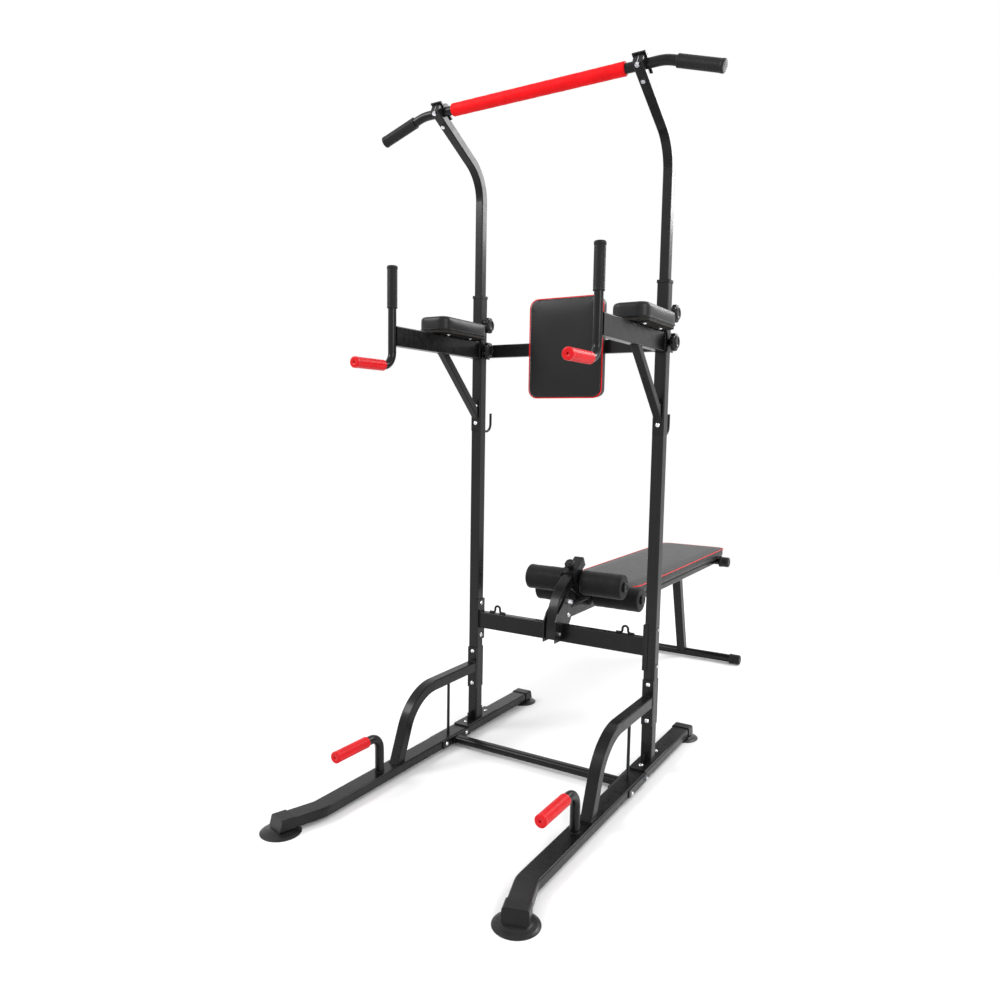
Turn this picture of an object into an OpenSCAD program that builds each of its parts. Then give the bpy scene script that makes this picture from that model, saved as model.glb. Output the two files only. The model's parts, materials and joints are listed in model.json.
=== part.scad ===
// Power tower with pull-up bar, dip arms, leg hold and sit-up bench.
// Millimetres, +Z up. Origin: floor centre between the two uprights. +Y runs towards the bench.

/* [Frame] */
// spacing of the upright centre lines
span = 685; // [670:1:700]
// side of the square upright tubes
post_w = 38; // [38:1:40]
// top of the lower uprights
post_top = 1588; // [1580:1:1600]
// width of the base rails
rail_w = 60; // [56:1:62]
// height of the base rails
rail_h = 30; // [28:1:31]
// underside of the base rails above the floor
rail_z = 12; // [11:1:14]
// outward bend of the rail fronts in degrees
rail_turn = 18; // [14:1:20]

/* [Pull-up bar] */
// height of the bar axis
bar_z = 2141; // [2139:1:2143]
// bar axis ahead of the uprights
bar_y = 248; // [246:1:250]
// outer diameter of the bar tube
bar_d = 28; // [26:1:29]
// outer diameter of the bar foam
bar_foam_d = 40; // [36:1:42]
// half length of the bar foam
bar_foam_half = 295; // [280:1:300]
// downward bend of the bar ends in degrees
bar_turn = 18; // [14:1:20]

/* [Dip station] */
// underside of the dip arms
arm_z = 1376; // [1374:1:1380]
// height of the dip arm section
arm_h = 60; // [58:1:60]
// front end of the dip arms
arm_reach = 482; // [478:1:486]
// diameter of the handle tubes
handle_d = 25.4; // [25:0.2:26]
// thickness of the elbow pads above their board
elbow_t = 47; // [42:1:50]

/* [Bench] */
// length of the bench board
bench_len = 1222; // [1180:1:1230]
// width of the bench board
bench_w = 320; // [300:1:330]
// thickness of the bench padding
bench_pad_t = 36; // [30:1:40]
// tilt of the rear leg from vertical in degrees
leg_tilt = 17.7; // [16:0.1:19]

/* [Leg hold] */
// outer diameter of the foam rollers
roller_d = 91; // [84:1:91]
// half width over the upper rollers
roller_top_half = 191; // [180:1:200]
// half width over the lower rollers
roller_low_half = 212; // [200:1:225]

/* [Hidden] */
$fn = 32;
bend_lap = 0.8;
bend_inset = 0.06;
hx = span / 2;
half = post_w / 2;
wall = 2.5;
plate = 4;
rail_top = rail_z + rail_h;
rail_rear = 385;
rail_front = -805;
rail_bend_r = 90;
rail_tip = 118;
rail_corner = 5;
cap_wall = 3;
cap_in = 40;
cap_out = 8;
cap_slant = 14;
cup_r = 58;
cup_h = rail_z - cap_wall;
cup_front = [380, -934];
cup_rear_y = 358;
bolt_r = 4;
hole_r = 4.2;
saddle_t = 5;
post_z = rail_top + saddle_t;
collar_h = 9;
// solid plug at the foot of each post, the rest is open tube
post_plug = 40;

// floor crossbar
fx_y = -167;
fx_z = 24;
fx_r = 11.5;
fx_bolt = 61.5;
fx_plate = 168;

// middle crossbar
mid_z = 425.5;
mid_h = 60;
mid_d = 30;
mid_bolt = 60.5;
mid_plate = 152;
loop_x = 249;
loop_r = 10;
loop_rod = 4;

// front braces
brace_w = 36;
brace_z = 247.5;
brace_r = 165;
brace_y = -272;
brace_turn = 68.5;
brace_bolt = 60.5;
brace_plate = 152;
tie_y = -175;
tie_r = 5;

// push-up handles
push_r = 14;
push_y = -554;
push_z = 158;
push_bend = 42;
push_end = -748;
push_start = -617;
push_grip_r = 17.5;

// upper frame
slide_gap = 0.3;
tube_w = 30;
tube_foot = 1300;
tube_z = 1922;
tube_r = 130;
tube_turn = 63;
tube_end = 114;
clamp_r = 18.5;
clamp_rise = 9;
clamp_bolt = [-27, 28];
clamp_foot_t = 5;
tube_nose = 37;
// how far the bar axis lies off the axis of the slanted tube ends
bar_rest = (bar_z - tube_z - tube_r * sin(tube_turn)) * sin(tube_turn)
  - (bar_y - tube_r * (1 - cos(tube_turn))) * cos(tube_turn);
clamp_foot = tube_w / 2 - bar_rest + slide_gap;
clamp_w = 40;
bar_straight = 390;
bar_bend_r = 129;
bar_tail = 150;
grip_r = 18;
grip_gap = 17;
grip_len = 130;
grip_ribs = 26;

// dip station
handle_r = handle_d / 2;
handle_y = -arm_reach - handle_r;
handle_top = 1612;
handle_low = 1314;
handle_bend = 42;
grip_t = 3.3;
grip_low = 1489;
hand_end = -660;
arm_w = 30;
arm_top = arm_z + arm_h;
bracket_t = 3;
strut_w = 25;
strut_y = -225;
strut_z = 1180;
strut_bolts = [1148, 1208];
strut_plate = [1120, 1230];
elbow_w = 116;
elbow_y = -295;
elbow_back = -31;
elbow_r = 32;
elbow_base = arm_top + bracket_t;
board_t = 8;

// upper crossbar and back pad
ux_z = 1406;
ux_h = 45;
ux_y = 34;
ux_d = 25;
back_half = 137;
back_low = 1236;
back_high = 1570;
back_r = 30;
back_front = -4;
back_board_t = 6;

// height knobs
knob_z = [1406, 1493];
knob_r = 28;
knob_disc = 11;
knob_disc_t = 14;
knob_cap_t = 5;
neck_r = 10;
knob_flutes = 8;
shaft_r = 5;
shaft_gap = 0.05;

// j hooks
hook_r = 4.5;
hook_z = 1118;
hook_bend = 28;
hook_y = 62;
hook_len = 38;

// leg hold post
lp_y = 122;
lp_z = 440;
lp_r = 165;
lp_turn = 60;
lp_low = 412;
lp_len = 142;
side_x = 20.3;
pivot_y = 30.6;
pivot_z = 483.5;
lock_y = 16.3;
lock_z = 532.8;
pin_r = 5;

// roller carriage, along the upper part of the post
car_from = 42;
car_to = 92;
car_in = 19.4;
car_out = 23;
arm_in = 22.5;
arm_t = 4;
axle_r = 8;
low_axle = [249, 519];
top_axle = [131, 583];
roller_in = 32;
hub_t = 5;
plug_t = 4;
knob_s = 71;

// bench
bench_rail = 40;
bench_z = 508;
bench_y = 300;
bench_r_near = 70;
bench_r_far = 40;
side_tube = 30;
side_cx = 121;
cross_y = [335, 860, 1340];
end_y = 1430;
end_r = 15;
end_cap_r = 24;
end_in = 162;
end_tube = 195;
end_out = 208;
leg_w = 39.4;
leg_y = 1268;
leg_z = 444;
foot_y = 1398;
foot_z = 24;
foot_r = 19;
foot_half = 291;
foot_cap = 50;

// rounded rectangle section
module rsq(w, h, r) {
  square([w - 2 * r, h], center = true);
  square([w, h - 2 * r], center = true);
  for (sx = [-1, 1], sy = [-1, 1])
    translate([sx * (w / 2 - r), sy * (h / 2 - r)])
      circle(r = r, $fn = 16);
}

// draw in the side plane: local x is Y, local y is Z, local z is X
module side(x = 0) {
  translate([x, 0, 0])
    rotate([90, 0, 90])
      children();
}

// straight tube from a point at an angle in the drawing plane
module run(p, a, len, w, t, r) {
  translate([p[0], p[1], 0])
    rotate([0, 0, a])
      rotate([0, 90, 0])
        linear_extrude(height = len)
          rsq(t, w, r);
}

// curved tube about a centre in the drawing plane, lapping into the straight tubes at its ends
module bend(c, rad, a0, a1, w, t, r) {
  translate([c[0], c[1], 0])
    rotate([0, 0, a0 - bend_lap])
      rotate_extrude(angle = a1 - a0 + 2 * bend_lap, $fn = 72)
        translate([rad, 0])
          rsq(w - 2 * bend_inset, t - 2 * bend_inset, r);
}

// round bar from a point at an angle in the drawing plane
module rod(p, a, len, r) {
  translate([p[0], p[1], 0])
    rotate([0, 0, a])
      rotate([0, 90, 0])
        cylinder(h = len, r = r);
}

// curved round bar about a centre in the drawing plane, lapping like the curved tube
module rod_bend(c, rad, a0, a1, r) {
  translate([c[0], c[1], 0])
    rotate([0, 0, a0 - bend_lap])
      rotate_extrude(angle = a1 - a0 + 2 * bend_lap, $fn = 72)
        translate([rad, 0])
          circle(r = r - bend_inset);
}

// dome headed bolt: head above the plane, shank below, nut at its end
module bolt(grip) {
  difference() {
    intersection() {
      translate([0, 0, -5])
        sphere(r = 9);
      cylinder(h = 5, r = 8);
    }
    translate([0, 0, 2])
      cylinder(h = 4, r = 2.6, $fn = 6);
  }
  translate([0, 0, -grip - 8])
    cylinder(h = grip + 8.5, r = bolt_r);
  translate([0, 0, -grip - 6])
    cylinder(h = 6, r = 7, $fn = 6);
}

// places of the frame bolts, each with its head outwards along local z
module at_mid_bolts() {
  for (s = [-1, 1], dz = [-mid_bolt, mid_bolt])
    translate([s * (hx - half - plate), 0, mid_z + dz])
      rotate([0, -s * 90, 0])
        children();
}

module at_brace_bolts() {
  for (s = [-1, 1], dz = [-brace_bolt, brace_bolt])
    translate([s * hx, -half - plate, brace_z - 4 + dz])
      rotate([90, 0, 0])
        children();
}

module at_strut_bolts() {
  for (s = [-1, 1], z = strut_bolts)
    translate([s * hx, -half - plate, z])
      rotate([90, 0, 0])
        children();
}

module at_floor_bolts() {
  for (s = [-1, 1], dy = [-fx_bolt, fx_bolt])
    translate([s * (hx - rail_w / 2 - plate), fx_y + dy, fx_z + 3])
      rotate([0, -s * 90, 0])
        children();
}

module at_saddle_bolts() {
  for (s = [-1, 1], y = [-60, 76])
    translate([s * hx, y, post_z])
      children();
}

module at_elbow_bolts() {
  for (s = [-1, 1], e = [-27, 27], y = [-235, -105])
    translate([s * hx + e, y, arm_top])
      rotate([180, 0, 0])
        children();
}

module frame_holes() {
  at_mid_bolts()
    translate([0, 0, -60])
      cylinder(h = 62, r = hole_r);
  at_brace_bolts()
    translate([0, 0, -60])
      cylinder(h = 62, r = hole_r);
  at_strut_bolts()
    translate([0, 0, -60])
      cylinder(h = 62, r = hole_r);
  at_floor_bolts()
    translate([0, 0, -90])
      cylinder(h = 92, r = hole_r);
  at_saddle_bolts()
    translate([0, 0, -60])
      cylinder(h = 62, r = hole_r);
}

module frame_bolts() {
  color("silver") {
    at_mid_bolts()
      bolt(plate + post_w);
    at_brace_bolts()
      bolt(plate + post_w + bracket_t);
    at_strut_bolts()
      bolt(plate + post_w);
    at_floor_bolts()
      bolt(plate + rail_w + bracket_t);
    at_saddle_bolts()
      bolt(saddle_t + rail_h);
    at_elbow_bolts()
      bolt_short();
    side(-side_x - plate)
      translate([-43, 430, 0])
        rotate([180, 0, 0])
          bolt(2 * (side_x + plate));
  }
}

// screw into a pad board: head and washer only
module bolt_short() {
  intersection() {
    translate([0, 0, -5])
      sphere(r = 9);
    cylinder(h = 5, r = 8);
  }
}

// base rail with saddle and push-up handle tube, for side s
module base_rail(s) {
  tip_y = rail_front - rail_bend_r * sin(rail_turn);
  tip_x = rail_bend_r * (1 - cos(rail_turn));
  difference() {
    union() {
      translate([s * hx, rail_front, rail_z + rail_h / 2])
        rotate([-90, 0, 0])
          linear_extrude(height = rail_rear - rail_front - 6)
            rsq(rail_w, rail_h, rail_corner);
      translate([s * (hx + rail_bend_r), rail_front, rail_z + rail_h / 2])
        bend([0, 0], rail_bend_r, s > 0 ? 180 : -rail_turn, s > 0 ? 180 + rail_turn : 0,
          rail_w, rail_h, rail_corner);
      translate([s * (hx + tip_x), tip_y, rail_z + rail_h / 2])
        rotate([90, 0, s * rail_turn])
          linear_extrude(height = rail_tip)
            rsq(rail_w, rail_h, rail_corner);
      side(s * hx) {
        rod([push_y, rail_top - 4], 90, push_z - push_bend - rail_top + 4, push_r);
        rod_bend([push_y - push_bend, push_z - push_bend], push_bend, 0, 90, push_r);
        rod([push_y - push_bend, push_z], 180, push_y - push_bend - push_end, push_r);
      }
    }
    frame_holes();
  }
}

module base_rail_left() {
  color("#1b1b1d")
    base_rail(-1);
}

module base_rail_right() {
  color("#1b1b1d")
    base_rail(1);
}

// plastic cap over a rail end, local z outwards and local y up, with a slanted face
module rail_cap() {
  w = rail_w + 2 * cap_wall;
  h = rail_h + 2 * cap_wall;
  difference() {
    translate([0, 0, -cap_in])
      linear_extrude(height = cap_in + cap_out)
        rsq(w, h, rail_corner + 2);
    translate([0, 0, -cap_in - 1])
      linear_extrude(height = cap_in + 1)
        rsq(rail_w + 0.2, rail_h + 0.2, rail_corner);
    translate([-w, -h / 2, cap_out])
      rotate([-cap_slant, 0, 0])
        cube([2 * w, 2 * h, 40]);
  }
}

module rail_caps() {
  tip_y = rail_front - rail_bend_r * sin(rail_turn) - rail_tip * cos(rail_turn);
  tip_x = rail_bend_r * (1 - cos(rail_turn)) + rail_tip * sin(rail_turn);
  color("#101011")
    for (s = [-1, 1]) {
      translate([s * hx, rail_rear - 6, rail_z + rail_h / 2])
        rotate([90, 0, 180])
          rail_cap();
      translate([s * (hx + tip_x), tip_y, rail_z + rail_h / 2])
        rotate([90, 0, s * rail_turn])
          rail_cap();
    }
}

// rubber suction feet under the rails
module suction_cups() {
  color("#202022")
    for (s = [-1, 1], e = [0, 1])
      translate([s * (e == 0 ? cup_front[0] : hx), e == 0 ? cup_front[1] : cup_rear_y, 0])
        rotate_extrude($fn = 48)
          polygon([[0, 0], [cup_r, 0], [cup_r, 2], [cup_r - 7, 4], [cup_r - 20, cup_h - 1.5],
            [cup_r - 24, cup_h], [0, cup_h]]);
}

// floor crossbar with its end plates
module floor_crossbar() {
  color("#1b1b1d")
    difference() {
      union() {
        rotate([0, 90, 0])
          translate([-fx_z, fx_y, -hx + rail_w / 2 + plate])
            linear_extrude(height = span - rail_w - 2 * plate)
              rsq(rail_h - 4, 34, 11);
        for (s = [-1, 1])
          translate([s * (hx - rail_w / 2 - plate / 2), fx_y, rail_z + rail_h / 2])
            cube([plate, fx_plate, rail_h - 4], center = true);
      }
      frame_holes();
    }
}

// hollow upright with rear hook and knob holes, for side s
module upright(s) {
  difference() {
    union() {
      translate([s * hx, 0, post_z])
        linear_extrude(height = post_top - post_z)
          rsq(post_w, post_w, 4);
      side(s * hx) {
        rod([half - 2, hook_z], 0, hook_y - hook_bend + 2, hook_r);
        rod_bend([half + hook_y - hook_bend, hook_z + hook_bend], hook_bend, -90, 0, hook_r);
        rod([half + hook_y, hook_z + hook_bend], 90, hook_len, hook_r);
      }
    }
    translate([s * hx, 0, post_z + post_plug])
      linear_extrude(height = post_top - post_z)
        rsq(post_w - 2 * wall, post_w - 2 * wall, 2);
    for (z = knob_z)
      translate([s * hx, 0, z])
        rotate([0, 90, 0])
          cylinder(h = post_w, r = shaft_r + shaft_gap);
    frame_holes();
  }
}

module upright_left() {
  color("#1b1b1d")
    upright(-1);
}

module upright_right() {
  color("#1b1b1d")
    upright(1);
}

// saddle plate and gussets under each upright, bolted on the rails
module post_feet() {
  color("#1b1b1d")
    difference() {
      for (s = [-1, 1]) {
        translate([s * hx, 8, rail_top + saddle_t / 2])
          cube([rail_w - 4, 210, saddle_t], center = true);
        for (e = [-1, 1])
          translate([s * hx, e * (half + 15), post_z + 13.5])
            cube([3, 30, 29], center = true);
      }
      frame_holes();
    }
}

// plastic sleeves guiding the telescoping tubes
module post_collars() {
  color("#0e0e0f")
    for (s = [-1, 1])
      translate([s * hx, 0, post_top])
        linear_extrude(height = collar_h)
          difference() {
            rsq(post_w + 4, post_w + 4, 5);
            rsq(tube_w + 2 * slide_gap, tube_w + 2 * slide_gap, 3);
          }
}

// middle crossbar with channel shaped end plates
module mid_crossbar() {
  inner = hx - half;
  color("#1b1b1d")
    difference() {
      union() {
        translate([-inner + plate, 0, mid_z])
          rotate([90, 0, 90])
            linear_extrude(height = 2 * (inner - plate))
              rsq(mid_d, mid_h, 4);
        for (s = [-1, 1]) {
          translate([s * (inner - plate / 2), 0, mid_z])
            cube([plate, post_w + 6, mid_plate], center = true);
          for (e = [-1, 1])
            translate([s * (inner + 6), e * (half + 1.5), mid_z])
              cube([12, 3, mid_plate], center = true);
        }
      }
      frame_holes();
    }
}

// steel loops for the pull ropes, welded on the middle crossbar
module rope_loops() {
  top = mid_z + mid_h / 2;
  color("#1b1b1d")
    for (s = [-1, 1])
      translate([s * loop_x, 0, top])
        rotate([90, 0, 0]) {
          rod_bend([0, 31 - loop_r - loop_rod], loop_r, 0, 180, loop_rod);
          for (e = [-1, 1]) {
            rod([e * loop_r, loop_rod + 8], 90, 31 - loop_r - 2 * loop_rod - 8, loop_rod);
            rod_bend([e * (loop_r + 8), loop_rod + 8], 8, e > 0 ? 180 : 270, e > 0 ? 270 : 360, loop_rod);
            rod([e * (loop_r + 8), loop_rod], e > 0 ? 0 : 180, 14, loop_rod);
          }
        }
}

// bent front brace with its end plates, for side s
module brace(s) {
  foot_y = brace_y - brace_r * sin(brace_turn);
  foot_z = brace_z - brace_r * (1 - cos(brace_turn));
  drop = (foot_z - rail_top + 20) / sin(brace_turn);
  difference() {
    union() {
      side(s * hx) {
        run([-half - plate, brace_z], 180, -half - plate - brace_y, brace_w, brace_w, 4);
        bend([brace_y, brace_z - brace_r], brace_r, 90, 90 + brace_turn, brace_w, brace_w, 4);
        run([foot_y, foot_z], 180 + brace_turn, drop, brace_w, brace_w, 4);
      }
      translate([s * hx, -half - plate / 2, brace_z - 4])
        cube([post_w, plate, brace_plate], center = true);
    }
    translate([s * hx, foot_y, rail_top - 50])
      cube([200, 300, 100], center = true);
    frame_holes();
  }
}

module brace_left() {
  color("#1b1b1d")
    brace(-1);
}

module brace_right() {
  color("#1b1b1d")
    brace(1);
}

// vertical rods between brace and rail
module tie_rods() {
  low = brace_z - brace_w / 2;
  color("#1b1b1d")
    for (s = [-1, 1])
      translate([s * hx, tie_y, rail_top])
        cylinder(h = low - rail_top, r = tie_r);
}

// plates behind the bolts of the braces and of the floor crossbar
module backing_plates() {
  color("#1b1b1d")
    difference() {
      for (s = [-1, 1]) {
        translate([s * hx, half + bracket_t / 2, brace_z - 4])
          cube([post_w, bracket_t, brace_plate], center = true);
        translate([s * (hx + rail_w / 2 + bracket_t / 2), fx_y, rail_z + rail_h / 2])
          cube([bracket_t, fx_plate - 20, rail_h - 6], center = true);
      }
      frame_holes();
    }
}

// rubber grip along local x with a small hole in its closed end
module closed_grip(len, r, bore) {
  difference() {
    union() {
      rotate([0, 90, 0])
        cylinder(h = len, r = r);
      rotate([0, 90, 0])
        cylinder(h = 5, r = r + 2);
      translate([len, 0, 0])
        rotate([0, 90, 0])
          cylinder(h = 4, r = r - 3);
    }
    translate([-1, 0, 0])
      rotate([0, 90, 0])
        cylinder(h = len - 2, r = bore);
    translate([len - 6, 0, 0])
      rotate([0, 90, 0])
        cylinder(h = 20, r = 3);
  }
}

module push_up_grips() {
  color("#c8101a")
    for (s = [-1, 1])
      translate([s * hx, push_start, push_z])
        rotate([0, 0, -90])
          closed_grip(push_start - push_end + 5, push_grip_r, push_r);
}

// dip arm with bracket, handle tube, for side s
module arm(s) {
  difference() {
    union() {
      side(s * hx) {
        run([-half - 1, arm_z + arm_h / 2], 180, arm_reach - half + 5, arm_h, arm_w, 3);
        rod([handle_y, handle_low + handle_bend], 90, handle_top - 3 - handle_low - handle_bend, handle_r);
        rod_bend([handle_y - handle_bend, handle_low + handle_bend], handle_bend, -90, 0, handle_r);
        rod([handle_y - handle_bend, handle_low], 180, handle_y - handle_bend - hand_end, handle_r);
      }
      translate([s * hx, (ux_y - half - bracket_t) / 2, arm_z + arm_h / 2])
        cube([post_w + 2 * bracket_t, ux_y + half + bracket_t, arm_h], center = true);
    }
    translate([s * hx, half / 2 + 10, arm_z + arm_h / 2])
      cube([post_w, post_w * 3 / 2 + 20, arm_h + 2], center = true);
    translate([s * hx, 0, knob_z[0]])
      rotate([0, 90, 0])
        cylinder(h = post_w, r = 10.3);
  }
}

module arm_left() {
  color("#1b1b1d")
    arm(-1);
}

module arm_right() {
  color("#1b1b1d")
    arm(1);
}

// slanted struts under the dip arms
module arm_struts() {
  dy = -half - plate - strut_y;
  dz = arm_z - strut_z;
  color("#1b1b1d")
    difference() {
      for (s = [-1, 1]) {
        side(s * hx)
          run([strut_y - 20, arm_z + 20 * dz / dy], -atan2(dz, dy), 400, strut_w, strut_w, 3);
        translate([s * hx, -half - plate / 2, (strut_plate[0] + strut_plate[1]) / 2])
          cube([strut_w + 8, plate, strut_plate[1] - strut_plate[0]], center = true);
      }
      translate([0, strut_y, arm_z + 100])
        cube([2 * span, 400, 200], center = true);
      translate([0, -half + 200, strut_z])
        cube([2 * span, 400, 800], center = true);
      frame_holes();
    }
}

// vertical black grips on the dip handles
module dip_grips() {
  color("#141415")
    for (s = [-1, 1])
      translate([s * hx, handle_y, grip_low])
        rotate([0, -90, 0])
          closed_grip(handle_top - grip_low, handle_r + grip_t, handle_r);
}

// horizontal red grips on the dip handles
module hand_grips() {
  start = handle_y - handle_bend - 2;
  color("#c8101a")
    for (s = [-1, 1])
      translate([s * hx, start, handle_low])
        rotate([0, 0, -90])
          closed_grip(start - hand_end + 5, handle_r + grip_t + 0.5, handle_r);
}

// outline of an elbow pad or board
module elbow_outline(e) {
  y0 = elbow_y + e;
  y1 = elbow_back - e;
  w = elbow_w / 2 - e;
  difference() {
    translate([-w, y0])
      square([2 * w, y1 - y0]);
    for (s = [-1, 1]) {
      elbow_corner([s * (w - elbow_r), y0 + elbow_r], s, -1);
      elbow_corner([s * (w - elbow_r), y1 - elbow_r], s, 1);
    }
  }
}

// removes one square corner outside a rounding circle
module elbow_corner(c, sx, sy) {
  translate(c)
    difference() {
      translate([sx > 0 ? 0 : -elbow_r - 1, sy > 0 ? 0 : -elbow_r - 1])
        square(elbow_r + 1);
      circle(r = elbow_r);
    }
}

// steel plate and board under each elbow pad
module elbow_boards() {
  color("#161617")
    for (s = [-1, 1])
      translate([s * hx, 0, 0]) {
        translate([0, (elbow_y + elbow_back) / 2, arm_top + bracket_t / 2])
          cube([86, 200, bracket_t], center = true);
        translate([0, 0, elbow_base])
          linear_extrude(height = board_t)
            elbow_outline(3);
      }
}

module elbow_pad(s) {
  translate([s * hx, 0, elbow_base + board_t])
    linear_extrude(height = elbow_t)
      elbow_outline(0);
}

module elbow_pad_left() {
  color("#222224")
    elbow_pad(-1);
}

module elbow_pad_right() {
  color("#222224")
    elbow_pad(1);
}

// crossbar behind the back pad, joining the arm brackets
module upper_crossbar() {
  color("#1b1b1d")
    translate([-hx - half - bracket_t, ux_y + ux_d / 2, ux_z])
      rotate([90, 0, 90])
        linear_extrude(height = span + post_w + 2 * bracket_t)
          rsq(ux_d, ux_h, 3);
}

// board that carries the back pad
module back_board() {
  color("#161617")
    translate([0, ux_y, (back_low + back_high) / 2])
      rotate([90, 0, 0])
        linear_extrude(height = back_board_t)
          rsq(2 * back_half - 8, back_high - back_low - 8, back_r - 4);
}

module back_pad() {
  color("#222224")
    translate([0, ux_y - back_board_t, (back_low + back_high) / 2])
      rotate([90, 0, 0])
        linear_extrude(height = ux_y - back_board_t - back_front)
          rsq(2 * back_half, back_high - back_low, back_r);
}

// telescoping tube with its forward bend, for side s
module bar_tube(s) {
  bend_y = -tube_r * (1 - cos(tube_turn));
  bend_z = tube_z + tube_r * sin(tube_turn);
  len = (bar_y + bend_y) / sin(tube_turn) + tube_nose;
  difference() {
    side(s * hx) {
      run([0, tube_foot], 90, tube_z - tube_foot, tube_w, tube_w, 3);
      bend([-tube_r, tube_z], tube_r, 0, tube_turn, tube_w, tube_w, 3);
      run([bend_y, bend_z], 90 + tube_turn, len, tube_w, tube_w, 3);
    }
    translate([s * hx, -bar_y, bar_z])
      rotate([0, 90, 0])
        cylinder(h = 80, r = bar_d / 2, center = true);
    at_clamp(s)
      for (x = clamp_bolt)
        translate([x, 0, 0])
          rotate([90, 0, 0])
            cylinder(h = 80, r = hole_r, center = true);
  }
}

module bar_tube_left() {
  color("#1b1b1d")
    bar_tube(-1);
}

module bar_tube_right() {
  color("#1b1b1d")
    bar_tube(1);
}

// moves children to the end of the bar, local x outwards along the bent end
module at_bar_end(s) {
  x = bar_straight + bar_bend_r * sin(bar_turn);
  z = bar_z - bar_bend_r * (1 - cos(bar_turn));
  translate([s * x, -bar_y, z])
    rotate([0, s > 0 ? bar_turn : 180 - bar_turn, 0])
      children();
}

module pull_up_bar() {
  r = bar_d / 2;
  low = bar_z - bar_bend_r;
  tail_x = bar_straight + bar_bend_r * sin(bar_turn);
  tail_z = low + bar_bend_r * cos(bar_turn);
  color("#1b1b1d")
    translate([0, -bar_y, 0])
      rotate([90, 0, 0]) {
        rod([-bar_straight, bar_z], 0, 2 * bar_straight, r);
        rod_bend([bar_straight, low], bar_bend_r, 90 - bar_turn, 90, r);
        rod_bend([-bar_straight, low], bar_bend_r, 90, 90 + bar_turn, r);
        rod([tail_x, tail_z], -bar_turn, bar_tail, r);
        rod([-tail_x, tail_z], 180 + bar_turn, bar_tail, r);
      }
}

module bar_foam() {
  color("#c8101a")
    translate([-bar_foam_half, -bar_y, bar_z])
      rotate([0, 90, 0])
        difference() {
          cylinder(h = 2 * bar_foam_half, r = bar_foam_d / 2, $fn = 48);
          translate([0, 0, -1])
            cylinder(h = 2 * bar_foam_half + 2, r = bar_d / 2);
        }
}

// ribbed rubber grips on the bar ends
module bar_grips() {
  pitch = (grip_len - 8) / grip_ribs;
  color("#141415")
    for (s = [-1, 1])
      at_bar_end(s)
        translate([grip_gap, 0, 0])
          rotate([0, 90, 0])
            difference() {
              union() {
                cylinder(h = grip_len, r = grip_r - 1.2);
                cylinder(h = 5, r = grip_r + 1.5);
                translate([0, 0, grip_len - 4])
                  cylinder(h = 7, r = grip_r);
                for (i = [1 : grip_ribs - 1])
                  translate([0, 0, 4 + i * pitch])
                    cylinder(h = pitch / 2, r = grip_r, $fn = 24);
              }
              translate([0, 0, -1])
                cylinder(h = bar_tail - grip_gap + 1, r = bar_d / 2);
            }
}

// frame of a bar clamp: local x down the tube, local y off its upper face
module at_clamp(s) {
  translate([s * hx, -bar_y, bar_z])
    rotate([0, 90, 0])
      rotate([0, 0, tube_turn])
        children();
}

// saddle clamps holding the bar on the tube ends
module bar_clamps() {
  low = clamp_bolt[0] - 9;
  high = clamp_bolt[1] + 9;
  for (s = [-1, 1])
    color("#1b1b1d")
      difference() {
        at_clamp(s) {
          translate([0, clamp_rise, 0])
            cylinder(h = clamp_w, r = clamp_r, center = true);
          translate([-clamp_r, clamp_foot, -clamp_w / 2])
            cube([2 * clamp_r, clamp_rise - clamp_foot, clamp_w]);
          translate([low, clamp_foot, -clamp_w / 2])
            cube([high - low, clamp_foot_t, clamp_w]);
        }
        translate([s * hx, -bar_y, bar_z])
          rotate([0, 90, 0])
            cylinder(h = 100, r = bar_d / 2, center = true);
        at_clamp(s)
          for (x = clamp_bolt)
            translate([x, 0, 0])
              rotate([-90, 0, 0])
                cylinder(h = 60, r = hole_r, center = true);
        bar_tube_cut(s);
      }
}

// bolts through clamp and tube, heads on the clamp and nuts under the tube
module clamp_bolts() {
  color("silver")
    for (s = [-1, 1])
      at_clamp(s)
        for (x = clamp_bolt)
          translate([x, clamp_foot + clamp_foot_t, 0])
            rotate([-90, 0, 0])
              bolt(tube_w + 2 * slide_gap + clamp_foot_t);
}

// straight end of the telescoping tube as a cutter
module bar_tube_cut(s) {
  bend_y = -tube_r * (1 - cos(tube_turn));
  bend_z = tube_z + tube_r * sin(tube_turn);
  side(s * hx)
    run([bend_y, bend_z], 90 + tube_turn, 400, tube_w, tube_w, 0.5);
}

// fluted height knob with its clamping screw, on the +X face of a post
module height_knob(s, z) {
  face = s * hx + half;
  color("#101012")
    translate([face, 0, z])
      rotate([0, 90, 0]) {
        translate([0, 0, slide_gap])
          cylinder(h = knob_disc - 4, r = neck_r);
        translate([0, 0, -half + tube_w / 2 + slide_gap])
          cylinder(h = 10, r = shaft_r);
        translate([0, 0, knob_disc - 5])
          cylinder(h = 5, r1 = neck_r + 1, r2 = 19);
        translate([0, 0, knob_disc])
          difference() {
            cylinder(h = knob_disc_t, r = knob_r, $fn = 48);
            for (i = [0 : knob_flutes - 1])
              rotate([0, 0, i * 360 / knob_flutes])
                translate([knob_r + 5, 0, -1])
                  cylinder(h = knob_disc_t + 2, r = 8);
          }
        translate([0, 0, knob_disc + knob_disc_t])
          cylinder(h = knob_cap_t, r1 = 20, r2 = 18);
      }
}

module knob_low_left() {
  height_knob(-1, knob_z[0]);
}

module knob_low_right() {
  height_knob(1, knob_z[0]);
}

module knob_high_left() {
  height_knob(-1, knob_z[1]);
}

module knob_high_right() {
  height_knob(1, knob_z[1]);
}

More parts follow.
